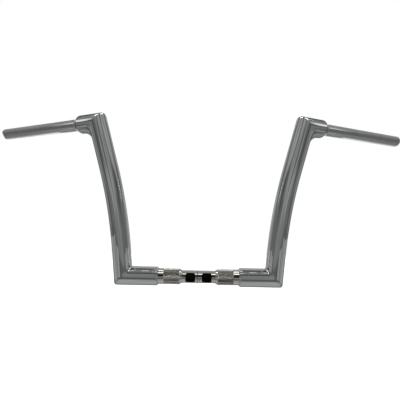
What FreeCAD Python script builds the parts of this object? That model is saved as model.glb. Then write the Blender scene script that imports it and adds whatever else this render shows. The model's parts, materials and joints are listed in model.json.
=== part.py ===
import FreeCAD, Part
import math
import os

# Flat top motorbike handlebar: lengths of round tube, mitred, slipped together and welded.
# The origin is the middle of the clamp axis. +X runs along the clamp axis to the clutch side,
# -Y is the front of the bike and +Z is up. Lengths are in millimetres, angles in degrees.

# Centre tube and the sleeves slipped over it, which the bike's clamps hold
CENTRE_DIAMETER = 25.4
CENTRE_WALL = 3.05
CENTRE_BARE = 68.8        # bare centre tube between the two sleeves
SLEEVE_WALL = 3.05
SLEEVE_CONE = 4.4         # length of the cone at a sleeve's inner end
SLEEVE_LIP = 0.5          # thickness of the cone at its thin end
KNURL_LENGTH = 32.2
KNURL_PROUD = 0.25        # height of the rolled knurl's crests above the sleeve
RING_LENGTH = 11.2        # plain sleeve between the knurl and the lower tube
SLEEVE_INSERT = 24.0      # sleeve inside the lower tube
SLIP_FIT = 0.125          # radial room where one tube slides into another

# Wiring windows in the front of the centre tube, and the scribed line that centres the bar
WINDOW_WIDTH = 20.0
WINDOW_HEIGHT = 19.0
WINDOW_CORNER = 4.5
WINDOW_WEB = 13.3         # metal left between the two windows
SCRIBE_PLACE = -2.4
SCRIBE_WIDTH = 0.5
SCRIBE_DEPTH = 0.3

# Large tubes: lower tube, riser and upper tube on each side
FAT_WALL = 3.05
LOWER_TUBE_STRAIGHT = 52.6
LOWER_TUBE_CHAMFER = 2.6  # on the lower tube's inner end
LOWER_CORNER_FILLET = 3.0
LOWER_CORNER_ROUND = 6.0
RISER_LOW_LEAN = 4.9      # lean outwards from the vertical, below the bend
RISER_TOP_LEAN = 14.7     # and above it
RISER_LOW_STRAIGHT = 30.8
RISER_BEND_RADIUS = 1026.0
RISER_TOP_STRAIGHT = 68.1
UPPER_CORNER_FILLET = 12.0
UPPER_CORNER_ROUND = 5.0
UPPER_TUBE_STRAIGHT = 19.7

# Reducers and grip tubes, level and pulled back towards the rider
PULL_BACK = 26.1
REDUCER_CONE = 12.6
REDUCER_LIP = 0.5
REDUCER_SPIGOT = 14.0     # reducer inside the upper tube
SEAM_CHAMFER = 0.8        # on both sides of the groove where the reducer meets the upper tube
GRIP_DIAMETER = 25.4
GRIP_WALL = 2.4
GRIP_LENGTH = 247.8       # bare grip tube beyond the reducer
GRIP_END_CHAMFER = 1.0
GRIP_SHOULDER = 0.5       # depth by which the grip tube is turned down inside the reducer

# Wiring outlet under each switch housing, low on the rider's side of the grip tube
OUTLET_LENGTH = 22.0
OUTLET_WIDTH = 11.0
OUTLET_INSET = 30.0       # from the reducer's thin end to the outlet's middle
OUTLET_DIP = 45.0         # angle below the level

# Notch that keys the throttle sensor, low in the front of the throttle side's end
NOTCH_DEPTH = 4.2
NOTCH_WIDTH = 11.5
NOTCH_DIP = 30.0          # angle of the notch's middle below the level

# Hole for the switch housing's locating pin, high in the front of the throttle side's grip tube
PIN_HOLE_DIAMETER = 3.2
PIN_HOLE_INSET = 7.6      # from the reducer's thin end
PIN_HOLE_RISE = 42.0      # angle above the level

# Room by which cutters clear what they cut, and within which a corner's faces are sewn together
CUTTER_ROOM = 2.0
SEW_ROOM = 0.0001

# Radii that follow from the stock and the slip fit
centre_radius = CENTRE_DIAMETER / 2
sleeve_bore = centre_radius + SLIP_FIT
clamp_radius = sleeve_bore + SLEEVE_WALL
knurl_radius = clamp_radius + KNURL_PROUD
fat_bore = clamp_radius + SLIP_FIT
fat_radius = fat_bore + FAT_WALL
grip_radius = GRIP_DIAMETER / 2
spigot_radius = grip_radius - GRIP_SHOULDER
reducer_bore = spigot_radius + SLIP_FIT

# Places along the clamp axis
cone_start = CENTRE_BARE / 2
knurl_start = cone_start + SLEEVE_CONE
knurl_end = knurl_start + KNURL_LENGTH
lower_face = knurl_end + RING_LENGTH
sleeve_end = lower_face + SLEEVE_INSERT

ORIGIN = FreeCAD.Vector(0, 0, 0)
ACROSS = FreeCAD.Vector(1, 0, 0)
REAR = FreeCAD.Vector(0, 1, 0)
UP = FreeCAD.Vector(0, 0, 1)


def leaning(lean):
    """Direction that leans outwards from the vertical by an angle."""
    angle = math.radians(lean)
    return UP * math.cos(angle) + ACROSS * math.sin(angle)


def half_turn(along, other):
    """Half the angle by which a tube turns at a mitre, from the two directions away from it."""
    return (math.pi - along.getAngle(other)) / 2


# Path of the clutch side's axes, from corner to corner
low_direction = leaning(RISER_LOW_LEAN)
top_direction = leaning(RISER_TOP_LEAN)
grip_angle = math.radians(PULL_BACK)
grip_direction = ACROSS * math.cos(grip_angle) + REAR * math.sin(grip_angle)
grip_rear = UP.cross(grip_direction)

lower_setback = (fat_radius + LOWER_CORNER_FILLET) * math.tan(half_turn(-ACROSS, low_direction))
upper_setback = (fat_radius + UPPER_CORNER_FILLET) * math.tan(half_turn(-top_direction, grip_direction))

lower_corner = ACROSS * (lower_face + LOWER_TUBE_STRAIGHT + lower_setback)
bend_start = lower_corner + low_direction * (lower_setback + RISER_LOW_STRAIGHT)
bend_centre = bend_start + REAR.cross(low_direction) * RISER_BEND_RADIUS
bend_end = bend_centre - REAR.cross(top_direction) * RISER_BEND_RADIUS
upper_corner = bend_end + top_direction * (RISER_TOP_STRAIGHT + upper_setback)

# Places along the grip's axis, from the upper corner
upper_end = upper_setback + UPPER_TUBE_STRAIGHT
spigot_start = upper_end - REDUCER_SPIGOT
reducer_end = upper_end + REDUCER_CONE
grip_end = reducer_end + GRIP_LENGTH


def rounded(points, radius):
    """Closed wire through points, with an arc at each corner."""
    starts = []
    ends = []
    edges = []
    for index, corner in enumerate(points):
        before = (points[index - 1] - corner).normalize()
        after = (points[(index + 1) % len(points)] - corner).normalize()
        inward = (before + after).normalize()
        half_corner = before.getAngle(after) / 2
        starts.append(corner + before * (radius / math.tan(half_corner)))
        ends.append(corner + after * (radius / math.tan(half_corner)))
        middle = corner + inward * (radius / math.sin(half_corner) - radius)
        edges.append(Part.Arc(starts[-1], middle, ends[-1]).toShape())
    for index, start in enumerate(starts):
        edges.append(Part.LineSegment(ends[index - 1], start).toShape())
    return Part.Wire(Part.__sortEdges__(edges))


def turned(profile, origin, direction):
    """Solid of revolution from (along, radius) points about an axis."""
    side = direction.cross(REAR).normalize()
    points = [origin + direction * along + side * radius for along, radius in profile]
    return Part.Face(Part.makePolygon(points + points[:1])).revolve(origin, direction, 360)


def half_oval(middle, reach, width):
    """Half ellipse from middle + width, round by middle + reach, to middle - width."""
    poles = [middle + width, middle + width + reach, middle + reach, middle - width + reach, middle - width]
    shoulder = math.sqrt(0.5)
    weights = [1, shoulder, 1, shoulder, 1]
    curve = Part.BSplineCurve()
    curve.buildFromPolesMultsKnots(poles, [3, 2, 3], [0, 1, 2], False, 2, weights)
    return curve.toShape()


def half_ovals(sides, crown, width, weights):
    """Face of half ovals: its two edges follow the poles of sides, its middle those of crown."""
    shoulder = math.sqrt(0.5)
    poles = []
    pole_weights = []
    for side, middle, weight in zip(sides, crown, weights):
        poles.append([side + width, middle + width, middle, middle - width, side - width])
        pole_weights.append([weight, weight * shoulder, weight, weight * shoulder, weight])
    degree = len(sides) - 1
    surface = Part.BSplineSurface()
    surface.buildFromPolesMultsKnots(poles, [degree + 1] * 2, [3, 2, 3], [0, 1], [0, 1, 2],
                                     False, False, degree, 2, pole_weights)
    return surface.toShape()


def corner_half(corner, along, other, fillet, rounding):
    """One tube's half of a mitred corner, solid, from its round section to the mitre.

    The sides follow the tube's axis, so a crease shows at the mitre. In the crotch the inner
    half blends into the fillet, and the outer half keeps to the tube's back up to the rounding.
    """
    half = half_turn(along, other)
    inward = (other - along * along.dot(other)).normalize()
    bisector = (along + other).normalize()
    width = along.cross(inward) * fat_radius
    arc_weights = [1, math.cos(half / 2), 1]

    start = corner + along * ((fat_radius + fillet) * math.tan(half))
    fillet_start = start + inward * fat_radius
    fillet_pole = fillet_start - along * (fillet * math.tan(half / 2))
    fillet_end = corner + bisector * ((fat_radius + fillet) / math.cos(half) - fillet)
    inner = half_ovals([start, (start + corner) / 2, corner], [fillet_start, fillet_pole, fillet_end],
                       width, arc_weights)

    back = start - inward * fat_radius
    tip = corner - bisector * (fat_radius / math.cos(half))
    ease = along * (rounding * math.tan(half))
    ease_pole = tip + ease - along * (rounding * math.tan(half / 2))
    ease_end = tip + bisector * (rounding / math.cos(half) - rounding)
    plain = half_ovals([start, corner + ease], [back, tip + ease], width, [1, 1])
    eased = half_ovals([corner + ease, corner + ease / 2, corner], [tip + ease, ease_pole, ease_end],
                       width, arc_weights)

    faces = [inner, plain, eased]
    for middle, inner_crown, outer_crown in ((start, fillet_start, back), (corner, fillet_end, ease_end)):
        inner_edge = half_oval(middle, inner_crown - middle, width)
        outer_edge = half_oval(middle, outer_crown - middle, -width)
        faces.append(Part.Face(Part.Wire([inner_edge, outer_edge])))
    shell = Part.Compound(faces)
    shell.sewShape(SEW_ROOM)
    return Part.makeSolid(shell.Shells[0])


def rod(start, direction, length, radius):
    """Solid round bar."""
    return Part.makeCylinder(radius, length, start, direction)


def bend(radius):
    """Solid round bar along the riser's bend."""
    circle = Part.Circle(bend_start, low_direction, radius).toShape()
    face = Part.Face(Part.Wire([circle]))
    return face.revolve(bend_centre, REAR, RISER_TOP_LEAN - RISER_LOW_LEAN)


def window(middle):
    """Cutter for one wiring window, from the front to the middle of the centre tube."""
    half_width = WINDOW_WIDTH / 2
    half_height = WINDOW_HEIGHT / 2
    signs = [(-1, -1), (1, -1), (1, 1), (-1, 1)]
    front = -REAR * (centre_radius + CUTTER_ROOM)
    points = [front + ACROSS * (middle + x * half_width) + UP * (z * half_height) for x, z in signs]
    return Part.Face(rounded(points, WINDOW_CORNER)).extrude(-front)


def centre_tube():
    """Tube through the middle, with two windows and a scribed line."""
    start = -ACROSS * sleeve_end
    tube = rod(start, ACROSS, 2 * sleeve_end, centre_radius)
    tube = tube.cut(rod(start, ACROSS, 2 * sleeve_end, centre_radius - CENTRE_WALL))
    window_place = (WINDOW_WEB + WINDOW_WIDTH) / 2
    scribe_start = ACROSS * (SCRIBE_PLACE - SCRIBE_WIDTH / 2)
    scribe = rod(scribe_start, ACROSS, SCRIBE_WIDTH, centre_radius + CUTTER_ROOM)
    scribe = scribe.cut(rod(scribe_start, ACROSS, SCRIBE_WIDTH, centre_radius - SCRIBE_DEPTH))
    return tube.cut([window(-window_place), window(window_place), scribe])


def clamp_sleeve():
    """Sleeve with a cone, a knurled band standing proud and a plain end inside the lower tube."""
    profile = [
        (cone_start, sleeve_bore),
        (cone_start, sleeve_bore + SLEEVE_LIP),
        (knurl_start, knurl_radius),
        (knurl_end, knurl_radius),
        (knurl_end, clamp_radius),
        (sleeve_end, clamp_radius),
        (sleeve_end, sleeve_bore),
    ]
    return turned(profile, ORIGIN, ACROSS)


def lower_tube():
    """Tube from the clamp section to the lower mitre."""
    straight_end = lower_face + LOWER_TUBE_STRAIGHT
    profile = [
        (lower_face, 0),
        (lower_face, fat_radius - LOWER_TUBE_CHAMFER),
        (lower_face + LOWER_TUBE_CHAMFER, fat_radius),
        (straight_end, fat_radius),
        (straight_end, 0),
    ]
    straight = turned(profile, ORIGIN, ACROSS)
    corner = corner_half(lower_corner, -ACROSS, low_direction, LOWER_CORNER_FILLET, LOWER_CORNER_ROUND)
    bore_length = LOWER_TUBE_STRAIGHT + 2 * (lower_setback + fat_radius)
    return straight.fuse(corner).cut(rod(ACROSS * lower_face, ACROSS, bore_length, fat_bore))


def riser_tube():
    """Bent tube, mitred at both ends."""
    low_end = corner_half(lower_corner, low_direction, -ACROSS, LOWER_CORNER_FILLET, LOWER_CORNER_ROUND)
    top_end = corner_half(upper_corner, -top_direction, grip_direction,
                          UPPER_CORNER_FILLET, UPPER_CORNER_ROUND)
    low_straight = rod(bend_start, -low_direction, RISER_LOW_STRAIGHT, fat_radius)
    top_straight = rod(bend_end, top_direction, RISER_TOP_STRAIGHT, fat_radius)
    outside = low_straight.fuse([bend(fat_radius), top_straight, low_end, top_end])
    low_bore_length = RISER_LOW_STRAIGHT + 2 * (lower_setback + fat_radius)
    top_bore_length = RISER_TOP_STRAIGHT + 2 * (upper_setback + fat_radius)
    low_bore = rod(bend_start, -low_direction, low_bore_length, fat_bore)
    top_bore = rod(bend_end, top_direction, top_bore_length, fat_bore)
    return outside.cut(low_bore.fuse([bend(fat_bore), top_bore]))


def upper_tube():
    """Short tube from the upper mitre to the reducer."""
    profile = [
        (upper_setback, 0),
        (upper_setback, fat_radius),
        (upper_end - SEAM_CHAMFER, fat_radius),
        (upper_end, fat_radius - SEAM_CHAMFER),
        (upper_end, 0),
    ]
    straight = turned(profile, upper_corner, grip_direction)
    corner = corner_half(upper_corner, grip_direction, -top_direction,
                         UPPER_CORNER_FILLET, UPPER_CORNER_ROUND)
    end = upper_corner + grip_direction * upper_end
    bore_length = UPPER_TUBE_STRAIGHT + 2 * (upper_setback + fat_radius)
    return straight.fuse(corner).cut(rod(end, -grip_direction, bore_length, fat_bore))


def grip_reducer():
    """Turned bush: a spigot in the upper tube and a cone down to the grip tube."""
    thin_radius = reducer_bore + REDUCER_LIP
    cone_slope = (fat_radius - thin_radius) / REDUCER_CONE
    profile = [
        (spigot_start, reducer_bore),
        (spigot_start, clamp_radius),
        (upper_end, clamp_radius),
        (upper_end, fat_radius - SEAM_CHAMFER),
        (upper_end + SEAM_CHAMFER, fat_radius - cone_slope * SEAM_CHAMFER),
        (reducer_end, thin_radius),
        (reducer_end, reducer_bore),
    ]
    return turned(profile, upper_corner, grip_direction)


def from_grip(level, rise):
    """Direction square to the grip's axis, at an angle above a level one."""
    angle = math.radians(rise)
    return level * math.cos(angle) + UP * math.sin(angle)


def grip_tube():
    """Tube for the hand grip, turned down inside the reducer, with a wiring outlet beside it."""
    profile = [
        (spigot_start, grip_radius - GRIP_WALL),
        (spigot_start, spigot_radius),
        (reducer_end, spigot_radius),
        (reducer_end, grip_radius),
        (grip_end - GRIP_END_CHAMFER, grip_radius),
        (grip_end, grip_radius - GRIP_END_CHAMFER),
        (grip_end, grip_radius - GRIP_WALL),
    ]
    tube = turned(profile, upper_corner, grip_direction)
    outward = from_grip(grip_rear, -OUTLET_DIP)
    side = outward.cross(grip_direction)
    middle = upper_corner + grip_direction * (reducer_end + OUTLET_INSET)
    end_radius = OUTLET_WIDTH / 2
    reach = grip_direction * (OUTLET_LENGTH / 2 - end_radius)
    cutter_depth = outward * (grip_radius + CUTTER_ROOM)
    slot = Part.Face(Part.Wire([
        Part.LineSegment(middle - reach + side * end_radius, middle + reach + side * end_radius).toShape(),
        Part.Arc(middle + reach + side * end_radius, middle + reach + grip_direction * end_radius,
                 middle + reach - side * end_radius).toShape(),
        Part.LineSegment(middle + reach - side * end_radius, middle - reach - side * end_radius).toShape(),
        Part.Arc(middle - reach - side * end_radius, middle - reach - grip_direction * end_radius,
                 middle - reach + side * end_radius).toShape(),
    ]))
    return tube.cut(slot.extrude(cutter_depth))


def throttle_cutters():
    """Cutters for the notch and the pin hole, on the clutch side's axis, before the mirroring."""
    notch_out = from_grip(-grip_rear, -NOTCH_DIP)
    half_width = notch_out.cross(grip_direction) * (NOTCH_WIDTH / 2)
    start = upper_corner + grip_direction * (grip_end - NOTCH_DEPTH)
    reach = notch_out * (grip_radius + CUTTER_ROOM)
    wire = Part.makePolygon([
        start - half_width,
        start + half_width,
        start + reach + half_width,
        start + reach - half_width,
        start - half_width,
    ])
    notch = Part.Face(wire).extrude(grip_direction * (NOTCH_DEPTH + CUTTER_ROOM))
    pin_place = upper_corner + grip_direction * (reducer_end + PIN_HOLE_INSET)
    pin_out = from_grip(-grip_rear, PIN_HOLE_RISE)
    pin_hole = rod(pin_place, pin_out, grip_radius + CUTTER_ROOM, PIN_HOLE_DIAMETER / 2)
    return [notch, pin_hole]


def to_throttle_side(shape):
    """Mirror image of a clutch side piece."""
    return shape.mirror(ORIGIN, ACROSS)


os.makedirs("parts", exist_ok=True)
centre_tube().exportStep("parts/centre_tube.step")

side_pieces = {
    "clamp_sleeve": clamp_sleeve(),
    "lower_tube": lower_tube(),
    "riser_tube": riser_tube(),
    "upper_tube": upper_tube(),
    "grip_reducer": grip_reducer(),
    "grip_tube": grip_tube(),
}
for name, piece in side_pieces.items():
    throttle_piece = piece
    if name == "grip_tube":
        throttle_piece = piece.cut(throttle_cutters())
    piece.exportStep(f"parts/clutch_side_{name}.step")
    to_throttle_side(throttle_piece).exportStep(f"parts/throttle_side_{name}.step")
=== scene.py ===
import json
import math

import bmesh
import bpy
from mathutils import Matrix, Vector


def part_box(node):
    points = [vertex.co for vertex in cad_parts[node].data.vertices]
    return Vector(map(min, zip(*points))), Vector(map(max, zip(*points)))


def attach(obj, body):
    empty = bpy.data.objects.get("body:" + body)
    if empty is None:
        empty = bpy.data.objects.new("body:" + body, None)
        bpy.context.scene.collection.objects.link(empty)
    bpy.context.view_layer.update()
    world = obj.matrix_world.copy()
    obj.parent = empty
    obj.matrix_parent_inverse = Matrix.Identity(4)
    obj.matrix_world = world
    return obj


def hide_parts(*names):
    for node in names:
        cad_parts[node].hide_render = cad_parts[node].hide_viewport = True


# Looks of the flat top handlebar: chrome tubes, knurled clamp bands and wiring windows.
# Lengths are in metres, in the frame of the solids: +X to the clutch side, -Y to the front, +Z up.

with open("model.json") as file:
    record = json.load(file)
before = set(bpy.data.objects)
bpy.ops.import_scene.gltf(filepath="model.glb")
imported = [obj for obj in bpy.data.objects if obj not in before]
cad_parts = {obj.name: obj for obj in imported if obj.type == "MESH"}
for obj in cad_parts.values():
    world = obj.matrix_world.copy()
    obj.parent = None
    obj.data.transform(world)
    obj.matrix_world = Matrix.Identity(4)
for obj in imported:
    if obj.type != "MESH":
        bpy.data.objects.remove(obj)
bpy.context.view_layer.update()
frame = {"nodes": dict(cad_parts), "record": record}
scene = bpy.context.scene
scene.view_settings.view_transform = "Standard"
mounts = {mount["name"]: mount for mount in frame["record"]["mounts"]}

SIDES = ("throttle_side", "clutch_side")
SMOOTH_ANGLE = 35         # degrees; faces that meet at less shade as one
KNURL_ANGLE = 20          # the same on the knurled sleeves
MERGE_REACH = 1e-6

# Camera that the bar was fitted to: level, a little turned about its own axis
CAMERA_PLACE = (0.0001, -0.618, 0.158)
CAMERA_LENS = 27.0
CAMERA_ROLL = math.radians(-1.08)

# Centre tube and its windows
CENTRE_WALL = 0.00305
WINDOW_WIDTH = 0.020
WINDOW_HEIGHT = 0.019
WINDOW_CORNER = 0.0045
WINDOW_CORNER_STEPS = 8
WINDOW_WEB = 0.0133
SCRIBE_PLACE = -0.0024
SCRIBE_WIDTH = 0.0010
SCRIBE_DEPTH = 0.0004
MARK_PLACE = 0.0018       # centring mark, a small V beside the scribed line
MARK_HEIGHT = -0.0040
MARK_SPREAD = 0.0028
MARK_DROP = 0.0048
MARK_STROKE = 0.0013

# Clamp sleeves
SLEEVE_BORE = 0.012825
SLEEVE_LIP = 0.0005
SLEEVE_CONE = 0.0044
KNURL_LENGTH = 0.0322
KNURL_PROUD = 0.00025     # crests above the plain sleeve
KNURL_DEPTH = 0.0005      # from crest to groove
KNURL_PITCH = 0.0016
EDGE_BREAK = 0.0004       # rounding of turned edges

# Large tubes: lower tube, riser and upper tube on each side
FAT_WALL = 0.00305
LOWER_TUBE_STRAIGHT = 0.0526
LOWER_TUBE_CHAMFER = 0.0026
LOWER_CORNER_FILLET = 0.003
LOWER_CORNER_ROUND = 0.006
LOWER_CORNER_SIDE = 0.006   # rounding on the sides, between the fillet and the outer rounding
RISER_LOW_LEAN = math.radians(4.9)
RISER_TOP_LEAN = math.radians(14.7)
RISER_LOW_STRAIGHT = 0.0308
RISER_BEND_RADIUS = 1.026
RISER_TOP_STRAIGHT = 0.0681
UPPER_CORNER_FILLET = 0.012
UPPER_CORNER_ROUND = 0.005
UPPER_CORNER_SIDE = 0.0015
UPPER_CORNER_BLEND = 0.034  # the fillet filled up by its weld and ground smooth
UPPER_TUBE_STRAIGHT = 0.0197
SEAM_CHAMFER = 0.0008
SEAM_SHADE_WIDTH = 0.0014          # width of painted shade in the groove between reducer and upper tube

ROUND_STEPS = 128
BEND_STEPS = 24
CORNER_STEPS = 12
CORNER_SUPPORT = 0.0006     # from a corner's rounding to the ring that keeps the straight tube straight
TUBE_PLACE = "tube_place"   # place on a tube's skin: across its section, and along its path

ACROSS = Vector((1, 0, 0))
REAR = Vector((0, 1, 0))
UP = Vector((0, 0, 1))


def link(obj):
    scene.collection.objects.link(obj)
    return obj


def mesh_piece(name, build, materials, sharp=SMOOTH_ANGLE):
    """New mesh object filled by build(bm), shaded smooth across edges under sharp degrees."""
    mesh = bpy.data.meshes.new(name)
    bm = bmesh.new()
    build(bm)
    bmesh.ops.recalc_face_normals(bm, faces=bm.faces)
    bm.to_mesh(mesh)
    bm.free()
    for material in materials:
        mesh.materials.append(material)
    mesh.shade_smooth()
    mesh.set_sharp_from_angle(angle=math.radians(sharp))
    return link(bpy.data.objects.new(name, mesh))


# Materials

GREENISH = (0.965, 1.0, 0.985)
WARM = (1.0, 0.985, 0.92)
RUSTY = (1.0, 0.85, 0.7)
ALONG_X, ALONG_Z = 0, 2
HAZE_RANGE = (0.3, 0.75)      # of the noise, from clear polish to full haze
HAZE_DETAIL = 4.0
CHROME_HAZE_SCALE = 38.0
STREAK_SCALE = 260            # of the polishing streaks, across them
LENGTHWISE_SCALE = 7.0        # and along them
LINES_PER_STREAK = 3
STREAK_DETAIL = 2.0
STREAK_RANGE = (0.42, 0.58)
STREAK_MIDDLE = 0.5           # half way between the streaks' colours
STREAK_GROWTH = (0.15, 0.25)  # stretch of a tube's path on which its streaks grow
STREAK_START = 0.20           # their strength before that
BUMP_STRENGTH = 0.04
BUMP_DEPTH = 0.0002
STEEL_PATCH_SCALE = 120.0
STEEL_PATCH_RANGE = (0.3, 0.7)
STEEL_LEVELS = (0.012, 0.03)
STEEL_METALLIC = 0.3
STEEL_ROUGH = (0.55, 0.8)
GRIP_HAZE_SCALE = 60.0
GRIP_BRIGHT = (0.48, 0.54)    # levels near the reducer
GRIP_DULL = (0.42, 0.50)      # and near the end
GRIP_ROUGH = (0.16, 0.34)     # roughness near the reducer and near the end
GRIP_HAZE_ROUGH = 0.05
SATIN_REACH = 0.6             # part of the grip's half length, each way, over which it turns to satin
# grey of the painted shade in the groove at the reducers
SEAM_SHADE_LEVEL = 0.02
MIX_FIRST, MIX_SECOND, MIX_RESULT = 6, 7, 2  # the Mix node's sockets for colours


class Nodes:
    """Small helper that adds nodes to a tree and links them by value or socket."""

    def __init__(self, tree):
        self.tree = tree

    def add(self, kind, **settings):
        node = self.tree.nodes.new("ShaderNode" + kind)
        for key, value in settings.items():
            setattr(node, key, value)
        return node

    def put(self, socket, value):
        if isinstance(value, bpy.types.NodeSocket):
            self.tree.links.new(value, socket)
        else:
            socket.default_value = value

    def math(self, operation, *values):
        node = self.add("Math", operation=operation)
        for socket, value in zip(node.inputs, values):
            self.put(socket, value)
        return node.outputs[0]

    def smooth(self, value, low, high, start=0.0, end=1.0):
        """Smooth step of a value from start at low to end at high."""
        node = self.add("MapRange", interpolation_type="SMOOTHSTEP")
        for socket, given in zip(node.inputs, (value, low, high, start, end)):
            self.put(socket, given)
        return node.outputs[0]

    def noise(self, vector, scale, detail):
        node = self.add("TexNoise")
        self.put(node.inputs["Vector"], vector)
        self.put(node.inputs["Scale"], scale)
        self.put(node.inputs["Detail"], detail)
        return node.outputs["Fac"]

    def stretch(self, vector, scale):
        node = self.add("Mapping")
        self.put(node.inputs["Vector"], vector)
        self.put(node.inputs["Scale"], scale)
        return node.outputs[0]

    def mix(self, factor, first, second):
        node = self.add("Mix", data_type="RGBA")
        self.put(node.inputs["Factor"], factor)
        self.put(node.inputs[MIX_FIRST], first)
        self.put(node.inputs[MIX_SECOND], second)
        return node.outputs[MIX_RESULT]

    def ramp(self, value, stops):
        """Grey ramp through (position, level) stops."""
        node = self.add("ValToRGB")
        elements = node.color_ramp.elements
        elements.remove(elements[-1])
        for index, (position, level) in enumerate(stops):
            element = elements[0] if index == 0 else elements.new(position)
            element.position = position
            element.color = (level, level, level, 1)
        self.put(node.inputs[0], value)
        return node.outputs[0]


def new_material(name):
    material = bpy.data.materials.new(name)
    material.use_nodes = True
    nodes = Nodes(material.node_tree)
    return material, nodes, material.node_tree.nodes["Principled BSDF"]


def grey(level, tint=(1, 1, 1)):
    return (level * tint[0], level * tint[1], level * tint[2], 1)


DARK_EDGE_REFLECTION = grey(0.28)    # painted dark reflection: the polish dimmed at glancing angles, darkening every silhouette
CONE_DARK_EDGE_REFLECTION = grey(0.90)    # the same painted dark reflection, weaker, on reducers and grip tubes, which show one another


def lengthwise(along, streak):
    """Texture scale of streaks that run along one axis."""
    return [LENGTHWISE_SCALE if axis == along else streak for axis in range(3)]


def chrome(name, low, high, along, rough, streak=STREAK_SCALE, attribute=None, edge=DARK_EDGE_REFLECTION):
    """Plated metal: polishing streaks and finer lines that run along an axis, and patches of haze.

    low and high are the streaks' colours. rough holds the roughness of clear polish, that of full
    haze and what the lines add. With an attribute for its place, the streaks grow along the tube's
    path, towards the grips. edge is the colour at glancing angles, a painted dark reflection.
    """
    material, nodes, shader = new_material(name)
    if attribute:
        place = nodes.add("Attribute", attribute_name=attribute).outputs["Vector"]
    else:
        place = nodes.add("TexCoord").outputs["Object"]
    haze = nodes.noise(place, CHROME_HAZE_SCALE, HAZE_DETAIL)
    streak_place = nodes.stretch(place, lengthwise(along, streak))
    streaks = nodes.noise(streak_place, 1.0, STREAK_DETAIL)
    line_place = nodes.stretch(place, lengthwise(along, LINES_PER_STREAK * streak))
    lines = nodes.noise(line_place, 1.0, STREAK_DETAIL)
    shade = nodes.smooth(streaks, *STREAK_RANGE)
    if attribute:
        split = nodes.add("SeparateXYZ")
        nodes.put(split.inputs[0], place)
        growth = nodes.smooth(split.outputs[along], *STREAK_GROWTH, STREAK_START, 1.0)
        swing = nodes.math("SUBTRACT", shade, STREAK_MIDDLE)
        shade = nodes.math("ADD", STREAK_MIDDLE, nodes.math("MULTIPLY", growth, swing))
    nodes.put(shader.inputs["Base Color"], nodes.mix(shade, grey(*low), grey(*high)))
    shader.inputs["Metallic"].default_value = 1.0
    # painted dark reflection: edge dims the polish at glancing angles
    shader.inputs["Specular Tint"].default_value = edge
    clear, hazy, lined = rough
    haze_rough = nodes.smooth(haze, *HAZE_RANGE, clear, hazy)
    line_rough = nodes.math("MULTIPLY", lines, lined)
    nodes.put(shader.inputs["Roughness"], nodes.math("ADD", haze_rough, line_rough))
    bump = nodes.add("Bump")
    bump.inputs["Strength"].default_value = BUMP_STRENGTH
    bump.inputs["Distance"].default_value = BUMP_DEPTH
    nodes.put(bump.inputs["Height"], lines)
    nodes.put(shader.inputs["Normal"], bump.outputs[0])
    return material


def steel(name):
    """Dark steel without plating, for bores and scribed marks."""
    material, nodes, shader = new_material(name)
    place = nodes.add("TexCoord").outputs["Object"]
    patch = nodes.noise(place, STEEL_PATCH_SCALE, HAZE_DETAIL)
    dark, rusty = STEEL_LEVELS
    nodes.put(shader.inputs["Base Color"], nodes.mix(patch, grey(dark), grey(rusty, RUSTY)))
    shader.inputs["Metallic"].default_value = STEEL_METALLIC
    nodes.put(shader.inputs["Roughness"], nodes.smooth(patch, *STEEL_PATCH_RANGE, *STEEL_ROUGH))
    return material


def grip_chrome(side):
    """Chrome that turns to satin towards the end of the grip tube."""
    mount = mounts[side.replace("_side", "") + "_grip_seat"]
    axis = Vector(mount["axis"])
    middle = Vector(mount["pos_m"])
    half_length = mount["dims"]["length_mm"] / 2000  # in metres
    material, nodes, shader = new_material(side + "_grip_chrome")
    place = nodes.add("TexCoord").outputs["Object"]
    along = nodes.add("VectorMath", operation="DOT_PRODUCT")
    nodes.put(along.inputs[0], place)
    along.inputs[1].default_value = axis
    reach = middle.dot(axis)
    half_satin = SATIN_REACH * half_length
    satin = nodes.smooth(along.outputs["Value"], reach - half_satin, reach + half_satin)
    haze = nodes.noise(place, GRIP_HAZE_SCALE, HAZE_DETAIL)
    bright_low, bright_high = GRIP_BRIGHT
    dull_low, dull_high = GRIP_DULL
    bright = nodes.mix(haze, grey(bright_low, GREENISH), grey(bright_high, GREENISH))
    dull = nodes.mix(haze, grey(dull_low), grey(dull_high))
    nodes.put(shader.inputs["Base Color"], nodes.mix(satin, bright, dull))
    shader.inputs["Metallic"].default_value = 1.0
    # a weaker painted dark reflection: the polish dimmed a little at glancing angles
    shader.inputs["Specular Tint"].default_value = CONE_DARK_EDGE_REFLECTION
    haze_rough = nodes.smooth(haze, *HAZE_RANGE, 0.0, GRIP_HAZE_ROUGH)
    satin_rough = nodes.smooth(satin, 0.0, 1.0, *GRIP_ROUGH)
    nodes.put(shader.inputs["Roughness"], nodes.math("ADD", satin_rough, haze_rough))
    return material


tube_chrome = chrome(
    "tube_chrome", low=(0.30, GREENISH), high=(0.74, GREENISH), along=ALONG_Z,
    rough=(0.03, 0.07, 0.03), streak=325, attribute=TUBE_PLACE)
clamp_chrome = chrome(
    "clamp_chrome", low=(0.49, WARM), high=(0.57, WARM), along=ALONG_X, rough=(0.02, 0.05, 0.02))
knurl_chrome = chrome(
    "knurl_chrome", low=(0.30, WARM), high=(0.66, WARM), along=ALONG_X,
    rough=(0.20, 0.32, 0.08), streak=420)
bare_steel = steel("bare_steel")


def dress(node, material):
    obj = frame["nodes"][node]
    obj.data.materials.clear()
    obj.data.materials.append(material)


for side in SIDES:
    dress(f"{side}_grip_tube", grip_chrome(side))

# Centre tube and sleeves


def ring(bm, x, radius, steps=ROUND_STEPS):
    turns = [2 * math.pi * step / steps for step in range(steps)]
    return [bm.verts.new((x, radius * math.cos(turn), radius * math.sin(turn))) for turn in turns]


def bridge(bm, first, second, index):
    count = len(first)
    for step in range(count):
        after = (step + 1) % count
        face = bm.faces.new((first[step], first[after], second[after], second[step]))
        face.material_index = index


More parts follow.
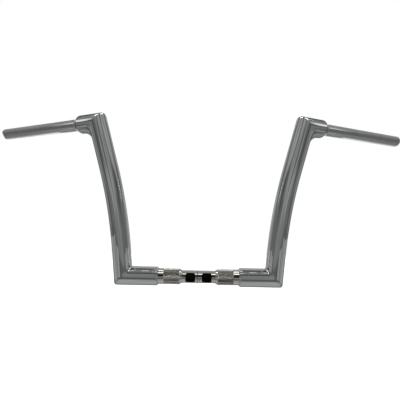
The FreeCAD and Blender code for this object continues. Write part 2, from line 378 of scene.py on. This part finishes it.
def turned(bm, profile):
    """Closed skin of revolution about X through (x, radius, material of the stretch that follows) points."""
    rings = [ring(bm, x, radius) for x, radius, _ in profile]
    for index, first in enumerate(rings):
        bridge(bm, first, rings[(index + 1) % len(rings)], profile[index][2])


CHROME, STEEL, KNURL = 0, 1, 2  # places in a piece's list of materials
_, centre_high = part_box("centre_tube")
centre_radius = centre_high.z
centre_bore = centre_radius - CENTRE_WALL


def centre_skin(bm):
    half = centre_high.x
    left = SCRIBE_PLACE - SCRIBE_WIDTH / 2
    right = SCRIBE_PLACE + SCRIBE_WIDTH / 2
    turned(bm, [
        (-half, centre_radius, CHROME),
        (left, centre_radius, STEEL),
        (SCRIBE_PLACE, centre_radius - SCRIBE_DEPTH, STEEL),
        (right, centre_radius, CHROME),
        (half, centre_radius, STEEL),
        (half, centre_bore, STEEL),
        (-half, centre_bore, STEEL),
    ])


def front_cutter(outline, bottom, material):
    """Prism through an outline in X and Z that cuts the tube from the front down to bottom(z)."""

    def build(bm):
        front = [bm.verts.new((x, -2 * centre_radius, z)) for x, z in outline]
        back = [bm.verts.new((x, bottom(z), z)) for x, z in outline]
        bridge(bm, front, back, material)
        bm.faces.new(front)
        bm.faces.new(back).material_index = material

    return mesh_piece("cutter", build, [clamp_chrome, bare_steel])


def window_cutter(middle):
    """One window, from the front to the middle of the tube."""
    outline = []
    for quarter, (sx, sz) in enumerate(((1, 1), (-1, 1), (-1, -1), (1, -1))):
        centre_x = middle + sx * (WINDOW_WIDTH / 2 - WINDOW_CORNER)
        centre_z = sz * (WINDOW_HEIGHT / 2 - WINDOW_CORNER)
        for step in range(WINDOW_CORNER_STEPS + 1):
            turn = math.pi / 2 * (quarter + step / WINDOW_CORNER_STEPS)
            x = centre_x + WINDOW_CORNER * math.cos(turn)
            z = centre_z + WINDOW_CORNER * math.sin(turn)
            outline.append((x, z))
    return front_cutter(outline, lambda z: 0, CHROME)


def mark_cutter():
    """The V mark, cut as deep as the scribed line."""
    tip = MARK_HEIGHT - MARK_DROP / 2
    top = MARK_HEIGHT + MARK_DROP / 2
    outline = [
        (MARK_PLACE - MARK_SPREAD, top), (MARK_PLACE - MARK_SPREAD + MARK_STROKE, top),
        (MARK_PLACE, tip + MARK_STROKE), (MARK_PLACE + MARK_SPREAD - MARK_STROKE, top),
        (MARK_PLACE + MARK_SPREAD, top), (MARK_PLACE, tip)]
    return front_cutter(outline, lambda z: SCRIBE_DEPTH - math.sqrt(centre_radius ** 2 - z ** 2), STEEL)


def apply_modifiers(obj):
    """Keep an object's modified mesh and drop its modifiers."""
    evaluated = obj.evaluated_get(bpy.context.evaluated_depsgraph_get())
    mesh = bpy.data.meshes.new_from_object(evaluated)
    obj.modifiers.clear()
    obj.data = mesh


centre = mesh_piece("centre_tube_windowed", centre_skin, [clamp_chrome, bare_steel])
cutters = [window_cutter(sign * (WINDOW_WEB + WINDOW_WIDTH) / 2) for sign in (-1, 1)]
cutters.append(mark_cutter())
for cutter in cutters:
    cut = centre.modifiers.new("cut", "BOOLEAN")
    cut.operation = "DIFFERENCE"
    cut.solver = "EXACT"
    cut.object = cutter
    apply_modifiers(centre)
    bpy.data.objects.remove(cutter)
centre.data.shade_smooth()
centre.data.set_sharp_from_angle(angle=math.radians(SMOOTH_ANGLE))
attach(centre, "root")
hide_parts("centre_tube")


def knurled_sleeve(side, sign):
    """Clamp sleeve of one side, with the knurl's diamonds on its band."""
    low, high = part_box(f"{side}_clamp_sleeve")
    inner = min(abs(low.x), abs(high.x))
    outer = max(abs(low.x), abs(high.x))
    crest = high.z
    plain = crest - KNURL_PROUD
    knurl_start = inner + SLEEVE_CONE
    knurl_end = knurl_start + KNURL_LENGTH
    around = 2 * round(math.pi * 2 * crest / KNURL_PITCH / 2)
    columns = 2 * round(KNURL_LENGTH / KNURL_PITCH)
    groove = crest - KNURL_DEPTH

    def build(bm):
        # the knurl: crests and grooves on a chequered lattice, faces folded along the grooves
        steps = 2 * around
        rows = []
        for column in range(columns + 1):
            x = knurl_start + KNURL_LENGTH * column / columns
            row = []
            for step in range(steps):
                at_end = column in (0, columns)
                radius = crest if (column + step) % 2 and not at_end else groove
                turn = 2 * math.pi * step / steps
                row.append(bm.verts.new((sign * x, radius * math.cos(turn), radius * math.sin(turn))))
            rows.append(row)
        for column in range(columns):
            for step in range(steps):
                after = (step + 1) % steps
                a, b = rows[column][step], rows[column + 1][step]
                c, d = rows[column + 1][after], rows[column][after]
                if (column + step) % 2:
                    triangles = ((a, b, d), (b, c, d))
                else:
                    triangles = ((a, b, c), (a, c, d))
                for triangle in triangles:
                    bm.faces.new(triangle).material_index = KNURL
        # the turned rest of the sleeve, from one end of the knurl round to the other
        profile = [
            (knurl_start, groove, CHROME),
            (inner, SLEEVE_BORE + SLEEVE_LIP, CHROME),
            (inner, SLEEVE_BORE, STEEL),
            (outer, SLEEVE_BORE, STEEL),
            (outer, plain, CHROME),
            (knurl_end + EDGE_BREAK, plain, CHROME),
            (knurl_end, groove, CHROME),
        ]
        rings = [ring(bm, sign * x, radius, steps) for x, radius, _ in profile]
        for index in range(len(rings) - 1):
            bridge(bm, rings[index], rings[index + 1], profile[index][2])
        bmesh.ops.remove_doubles(bm, verts=bm.verts, dist=MERGE_REACH)

    materials = [clamp_chrome, bare_steel, knurl_chrome]
    piece = mesh_piece(f"{side}_clamp_sleeve_knurled", build, materials, KNURL_ANGLE)
    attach(piece, "root")
    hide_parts(f"{side}_clamp_sleeve")


knurled_sleeve("throttle_side", -1)
knurled_sleeve("clutch_side", 1)

# Large tubes, welded at the mitres and ground smooth across them


def leaning(lean):
    """Direction that leans from upright to the clutch side."""
    return UP * math.cos(lean) + ACROSS * math.sin(lean)


def half_turn(way, next_way):
    """Angle between a tube's square end and its mitre."""
    return way.angle(next_way) / 2


fat_low, fat_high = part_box("clutch_side_lower_tube")
fat_radius = fat_high.y
lower_face = fat_low.x
low_way = leaning(RISER_LOW_LEAN)
top_way = leaning(RISER_TOP_LEAN)
grip_way = Vector(mounts["clutch_grip_seat"]["axis"])
lower_slope = math.tan(half_turn(ACROSS, low_way))
upper_slope = math.tan(half_turn(top_way, grip_way))
lower_setback = (fat_radius + LOWER_CORNER_FILLET) * lower_slope
upper_setback = (fat_radius + UPPER_CORNER_FILLET) * upper_slope
lower_corner = ACROSS * (lower_face + LOWER_TUBE_STRAIGHT + lower_setback)
bend_start = lower_corner + low_way * (lower_setback + RISER_LOW_STRAIGHT)
bend_centre = bend_start + REAR.cross(low_way) * RISER_BEND_RADIUS
bend_end = bend_centre - REAR.cross(top_way) * RISER_BEND_RADIUS
upper_corner = bend_end + top_way * (RISER_TOP_STRAIGHT + upper_setback)
upper_end = upper_setback + UPPER_TUBE_STRAIGHT


def round_corner(rings, corner, way, next_way, spokes, radius, fillet, rounding, side):
    """Add rings round a mitre, with each line of the skin rounded off; gives the spokes beyond it.

    fillet and rounding are the radii at the inside and the outside of the corner, side that between.
    """
    mitre = (way + next_way).normalized()
    slope = math.tan(half_turn(way, next_way))
    lines = []
    for spoke in spokes:
        back = spoke.dot(mitre) / way.dot(mitre)
        crossing = corner + (spoke - way * back) * radius
        inside = back / slope
        if inside > 0:
            reach = (side + (fillet - side) * inside) * slope
        else:
            reach = (side + (rounding - side) * inside ** 2) * slope
        start = crossing - way * reach
        end = crossing + next_way * reach
        line = [start - way * CORNER_SUPPORT]
        for step in range(CORNER_STEPS + 1):
            part = step / CORNER_STEPS
            line.append(start * (1 - part) ** 2 + crossing * 2 * part * (1 - part) + end * part ** 2)
        line.append(end + next_way * CORNER_SUPPORT)
        lines.append(line)
    rings.extend([list(points) for points in zip(*lines)])
    turn = way.rotation_difference(next_way)
    return [turn @ spoke for spoke in spokes]


def tube_skin(radius, start, end):
    """Rings of a round skin along the clutch side's path, with (inset, radius) profiles at its ends."""
    turns = [2 * math.pi * step / ROUND_STEPS for step in range(ROUND_STEPS)]
    spokes = [UP * math.cos(turn) + REAR * math.sin(turn) for turn in turns]
    rings = []
    for inset, size in start:
        rings.append([ACROSS * (lower_face + inset) + spoke * size for spoke in spokes])
    spokes = round_corner(rings, lower_corner, ACROSS, low_way, spokes, radius,
                          LOWER_CORNER_FILLET, LOWER_CORNER_ROUND, LOWER_CORNER_SIDE)
    for step in range(BEND_STEPS + 1):
        way = leaning(RISER_LOW_LEAN + (RISER_TOP_LEAN - RISER_LOW_LEAN) * step / BEND_STEPS)
        turn = low_way.rotation_difference(way)
        middle = bend_centre - REAR.cross(way) * RISER_BEND_RADIUS
        rings.append([middle + (turn @ spoke) * radius for spoke in spokes])
    turn = low_way.rotation_difference(top_way)
    spokes = [turn @ spoke for spoke in spokes]
    spokes = round_corner(rings, upper_corner, top_way, grip_way, spokes, radius,
                          UPPER_CORNER_BLEND, UPPER_CORNER_ROUND, UPPER_CORNER_SIDE)
    for inset, size in end:
        middle = upper_corner + grip_way * (upper_end - inset)
        rings.append([middle + spoke * size for spoke in spokes])
    return rings


def welded_tubes(side, sign):
    """Lower tube, riser and upper tube of one side as one plated skin."""
    bore = fat_radius - FAT_WALL
    outside = tube_skin(
        fat_radius,
        [(0, fat_radius - LOWER_TUBE_CHAMFER), (LOWER_TUBE_CHAMFER, fat_radius)],
        [(SEAM_CHAMFER, fat_radius), (0, fat_radius - SEAM_CHAMFER)])
    inside = tube_skin(bore, [(0, bore)], [(0, bore)])

    def build(bm):
        place = bm.verts.layers.float_vector.new(TUBE_PLACE)
        rings = []
        for skin in (outside, list(reversed(inside))):
            length = 0.0
            last = None
            for points in skin:
                middle = sum(points, Vector()) / len(points)
                length += (middle - last).length if last else 0.0
                last = middle
                row = []
                for step, point in enumerate(points):
                    turn = 2 * math.pi * step / ROUND_STEPS
                    vert = bm.verts.new((sign * point.x, point.y, point.z))
                    vert[place] = (fat_radius * math.cos(turn), fat_radius * math.sin(turn), length)
                    row.append(vert)
                rings.append(row)
        for index, first in enumerate(rings):
            material = CHROME if index < len(outside) - 1 else STEEL
            bridge(bm, first, rings[(index + 1) % len(rings)], material)

    piece = mesh_piece(f"{side}_welded_tubes", build, [tube_chrome, bare_steel])
    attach(piece, "root")
    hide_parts(f"{side}_lower_tube", f"{side}_riser_tube", f"{side}_upper_tube")


welded_tubes("throttle_side", -1)
welded_tubes("clutch_side", 1)

# Reducers: chrome, with painted shade in the groove at the upper tube


def paint_seam_shade(material):
    """Painted shade on the reducers, as far along them as the groove goes, on both sides alike."""
    nodes = Nodes(material.node_tree)
    shader = material.node_tree.nodes["Principled BSDF"]
    split = nodes.add("SeparateXYZ")
    nodes.put(split.inputs[0], nodes.add("TexCoord").outputs["Object"])
    across = nodes.math("MULTIPLY", nodes.math("ABSOLUTE", split.outputs[0]), grip_way.x)
    along = nodes.math("ADD", across, nodes.math("MULTIPLY", split.outputs[1], grip_way.y))
    seam = upper_corner.dot(grip_way) + upper_end
    # painted shade: near black in the groove, the reducer's chrome beyond it
    plain = nodes.smooth(along, seam + SEAM_SHADE_WIDTH - SEAM_CHAMFER / 2, seam + SEAM_SHADE_WIDTH)
    bright = shader.inputs["Base Color"].links[0].from_socket
    nodes.put(shader.inputs["Base Color"], nodes.mix(plain, grey(SEAM_SHADE_LEVEL), bright))


# reducers get the weaker painted dark reflection at glancing angles
reducer_chrome = chrome(
    "reducer_chrome", low=(0.52, GREENISH), high=(0.58, GREENISH), along=ALONG_X,
    rough=(0.08, 0.14, 0.03), streak=60, edge=CONE_DARK_EDGE_REFLECTION)
paint_seam_shade(reducer_chrome)
for side in SIDES:
    dress(f"{side}_grip_reducer", reducer_chrome)

# Camera and stage

camera_data = bpy.data.cameras.new("camera")
camera_data.lens = CAMERA_LENS
camera = link(bpy.data.objects.new("camera", camera_data))
camera.location = CAMERA_PLACE
camera.rotation_euler = (math.pi / 2, CAMERA_ROLL, 0)
scene.camera = camera

FLOOR_HEIGHT = -1.4
FLOOR_REACH = 8.0               # half the floor's width
FLOOR_PALE = 0.8
FLOOR_FAR = 0.40                # grey of the floor far in front of the bar
FLOOR_PALE_EDGE = (-2.3, -1.8)  # where that turns pale
FLOOR_PALE_BOW = 0.05           # bow of this edge, per metre squared
FLOOR_WHITE_EDGE = (1.3, 1.66)  # where the floor turns white, behind the bar
FLOOR_GLOW = 0.14               # lift of the pale floor where it is seen
FLOOR_GLOW_EDGE = (1.1, 1.9)    # where the lift ends, sideways
FLOOR_ROUGH = 0.9
VIEW_SPREAD = 0.70              # a little over half the camera's view, sideways or up, per length ahead
WIDE_EDGE = (VIEW_SPREAD, 1.5 * VIEW_SPREAD)  # where the white ends, sideways
TALL_EDGE = (VIEW_SPREAD, 1.2 * VIEW_SPREAD)  # and up
LEAST_DEPTH = 0.001             # least distance ahead that is divided by


def stage_plane(name, corners, material):
    """Flat sheet of the stage through four corners."""
    mesh = bpy.data.meshes.new(name)
    mesh.from_pydata(corners, [], [(0, 1, 2, 3)])
    mesh.materials.append(material)
    plane = link(bpy.data.objects.new(name, mesh))
    return plane


def floor_paint():
    """Pale round the bar, and white in the part behind the bar that the camera sees."""
    material, nodes, shader = new_material("floor")
    split = nodes.add("SeparateXYZ")
    nodes.put(split.inputs[0], nodes.add("TexCoord").outputs["Object"])
    x, y, _ = split.outputs
    aside = nodes.math("ABSOLUTE", x)
    bow = nodes.math("MULTIPLY", FLOOR_PALE_BOW, nodes.math("MULTIPLY", x, x))
    pale = nodes.smooth(nodes.math("SUBTRACT", y, bow), *FLOOR_PALE_EDGE)
    nodes.put(shader.inputs["Base Color"], nodes.mix(pale, grey(FLOOR_FAR), grey(FLOOR_PALE)))
    shader.inputs["Roughness"].default_value = FLOOR_ROUGH
    ahead = nodes.math("MAXIMUM", nodes.math("SUBTRACT", y, CAMERA_PLACE[1]), LEAST_DEPTH)
    in_view = nodes.smooth(nodes.math("DIVIDE", aside, ahead), *WIDE_EDGE, 1.0, 0.0)
    white = nodes.math("MULTIPLY", nodes.smooth(y, *FLOOR_WHITE_EDGE), in_view)
    rays = nodes.add("LightPath").outputs
    mirrored_rays = nodes.math("MAXIMUM", rays["Is Glossy Ray"], rays["Is Transmission Ray"])
    seen = nodes.math("MAXIMUM", rays["Is Camera Ray"], mirrored_rays)
    lift = nodes.math("MULTIPLY", pale, nodes.smooth(aside, *FLOOR_GLOW_EDGE, FLOOR_GLOW, 0.0))
    glow = nodes.math("MAXIMUM", white, lift)
    shader.inputs["Emission Color"].default_value = grey(1.0)
    nodes.put(shader.inputs["Emission Strength"], nodes.math("MULTIPLY", seen, glow))
    return material


floor_corners = []
for across, along in ((-1, -1), (1, -1), (1, 1), (-1, 1)):
    floor_corners.append((across * FLOOR_REACH, along * FLOOR_REACH, FLOOR_HEIGHT))
stage_plane("floor", floor_corners, floor_paint())

# Studio cards, seen in the polish alone and from one side alone
CARD_HEIGHT = 0.045
CARD_NEAR, CARD_FAR = -0.070, -0.44
CARD_HALF_NEAR, CARD_HALF_FAR = 0.0925, 0.144
CARD_LEVEL = 0.02
TRAY_HEIGHT = 0.275
TRAY_NEAR, TRAY_FAR = 0.015, 0.20
TRAY_INNER, TRAY_OUTER = 0.17, 0.34
TRAY_LEVEL = 0.7


def studio_card(name, level, corners):
    """Grey card that lights nothing and shades nothing."""
    material, nodes, shader = new_material(name)
    shader.inputs["Base Color"].default_value = grey(level)
    shader.inputs["Roughness"].default_value = 1.0
    backfacing = nodes.add("NewGeometry").outputs["Backfacing"]
    nodes.put(shader.inputs["Alpha"], nodes.math("SUBTRACT", 1.0, backfacing))
    plane = stage_plane(name, corners, material)
    plane.visible_camera = False
    plane.visible_diffuse = False
    plane.visible_shadow = False


# dark, in front of the clamp section, seen from below
studio_card("clamp_card", CARD_LEVEL, [
    (-CARD_HALF_NEAR, CARD_NEAR, CARD_HEIGHT), (CARD_HALF_NEAR, CARD_NEAR, CARD_HEIGHT),
    (CARD_HALF_FAR, CARD_FAR, CARD_HEIGHT), (-CARD_HALF_FAR, CARD_FAR, CARD_HEIGHT)])
# grey, behind and below the upper tubes, seen from above
for name, left, right in (
        ("throttle_tray", -TRAY_OUTER, -TRAY_INNER),
        ("clutch_tray", TRAY_INNER, TRAY_OUTER)):
    studio_card(name, TRAY_LEVEL, [
        (left, TRAY_NEAR, TRAY_HEIGHT), (right, TRAY_NEAR, TRAY_HEIGHT),
        (right, TRAY_FAR, TRAY_HEIGHT), (left, TRAY_FAR, TRAY_HEIGHT)])

# Surroundings by direction: a grey room with soft edges, white behind the bar
world = bpy.data.worlds.new("studio")
scene.world = world
world.use_nodes = True
sky = Nodes(world.node_tree)
sky_split = sky.add("SeparateXYZ")
sky.put(sky_split.inputs[0], sky.add("TexCoord").outputs["Generated"])
sky_x, sky_y, sky_z = sky_split.outputs
sky_front = sky.math("MULTIPLY", sky_y, -1.0)
sideways = sky.math("ABSOLUTE", sky_x)


def degrees_ramp(angle, stops):
    """Grey by an angle in radians, through stops in degrees from -180 to 180."""
    position = sky.math("ADD", sky.math("DIVIDE", angle, 2 * math.pi), 0.5)
    return sky.ramp(position, [(degrees / 360 + 0.5, level) for degrees, level in stops])


WALL_TOP = (math.radians(16), math.radians(28))  # where the walls turn into the ceiling
SIDE_EDGE = (0.30, 0.42)                         # where ahead and overhead turn into the sides

over = sky.math("ARCTAN2", sky_z, sky_front)
rise = sky.math("ARCSINE", sky_z)
bearing = sky.math("ABSOLUTE", sky.math("ARCTAN2", sky_x, sky_front))
# ahead and overhead: bays and beams of a ceiling, by the angle over the bar from front to back
ceiling = degrees_ramp(over, [
    (-180, 0.4), (-35, 0.25), (-16, 0.26), (0, 0.34), (32, 0.34), (38, 0.11), (47, 0.11), (54, 0.30),
    (91, 0.30), (98, 0.09), (109, 0.09), (118, 0.60), (130, 0.75), (145, 0.42), (180, 0.4)])
# to the sides: walls that change with the bearing, and the ceiling above them
wall = degrees_ramp(bearing, [
    (0, 0.34), (24, 0.34), (34, 0.29), (45, 0.24), (60, 0.21), (84, 0.20), (94, 0.30),
    (112, 0.40), (130, 0.46), (180, 0.50)])
side_ceiling = degrees_ramp(rise, [
    (-90, 0.3), (15, 0.30), (24, 0.42), (32, 0.42), (48, 0.32), (90, 0.28)])
flank = sky.mix(sky.smooth(rise, *WALL_TOP), wall, side_ceiling)
room = sky.mix(sky.smooth(sideways, *SIDE_EDGE), ceiling, flank)
# the white backdrop fills the camera's square view
depth = sky.math("MAXIMUM", sky_y, LEAST_DEPTH)
wide = sky.smooth(sky.math("DIVIDE", sideways, depth), *WIDE_EDGE, 1.0, 0.0)
height = sky.math("ABSOLUTE", sky_z)
tall = sky.smooth(sky.math("DIVIDE", height, depth), *TALL_EDGE, 1.0, 0.0)
backdrop = sky.mix(sky.math("MULTIPLY", wide, tall), room, grey(1.0))
sky.put(world.node_tree.nodes["Background"].inputs["Color"], backdrop)

# Lamps
FULL_SPREAD = math.pi
PANEL_SPREAD = math.radians(27)  # lights the upper tube beside it and not the riser opposite
# name, place, aim, size, brightness at full spread, and spread
# on the clutch side; the throttle side has their mirror images
SIDE_LAMPS = (
    ("overhead", (1.1, -0.1, 1.7), (0.3, 0, 0.1), (1.1, 0.5), 4.0, FULL_SPREAD),
    ("side_panel", (0.55, -0.052, 0.434), (0.29, 0.035, 0.305), (0.088, 0.14), 0.04, PANEL_SPREAD),
    ("low_panel", (0.42, 0.03, -0.035), (0.17, 0.03, -0.035), (0.52, 0.13), 0.24, FULL_SPREAD),
    ("low_front", (0.33, -0.28, -0.05), (0.165, -0.02, -0.05), (0.135, 0.11), 0.29, FULL_SPREAD),
    ("front_strip", (1.05, -1.25, 0.8), (0.2, 0.03, 0.28), (0.09, 0.6), 0.3, FULL_SPREAD),
    ("strip_high", (0.265, 0.2, 1.6), (0.265, 0, 0), (0.075, 0.14), 8.0, FULL_SPREAD),
    ("spot", (0.385, -0.415, 1.55), (0.385, 0, 0), (0.05, 0.05), 4.0, FULL_SPREAD),
    ("spot", (0.49, -0.415, 1.55), (0.49, 0, 0), (0.05, 0.05), 4.0, FULL_SPREAD),
)
# over the middle
MIDDLE_LAMPS = (
    ("strip_middle", (0, 0.2, 1.6), (0, 0, 0), (0.36, 0.14), 1.2, FULL_SPREAD),
    ("strip_front", (0, -0.80, 1.5), (0, 0, 0), (0.63, 0.14), 6.0, FULL_SPREAD),
)


def lamp(name, place, aim, size, radiance, spread):
    """Soft box that the camera doesn't see. A narrow spread gathers the same power in less room."""
    data = bpy.data.lights.new(name, "AREA")
    data.shape = "RECTANGLE"
    data.size, data.size_y = size
    data.spread = spread
    data.energy = math.pi * size[0] * size[1] * radiance
    obj = link(bpy.data.objects.new(name, data))
    obj.location = place
    obj.rotation_euler = (Vector(aim) - Vector(place)).to_track_quat("-Z", "Y").to_euler()
    obj.visible_camera = False


def on_side(point, sign):
    x, y, z = point
    return (sign * x, y, z)


for sign in (-1, 1):
    for name, place, aim, *settings in SIDE_LAMPS:
        lamp(name, on_side(place, sign), on_side(aim, sign), *settings)
for settings in MIDDLE_LAMPS:
    lamp(*settings)
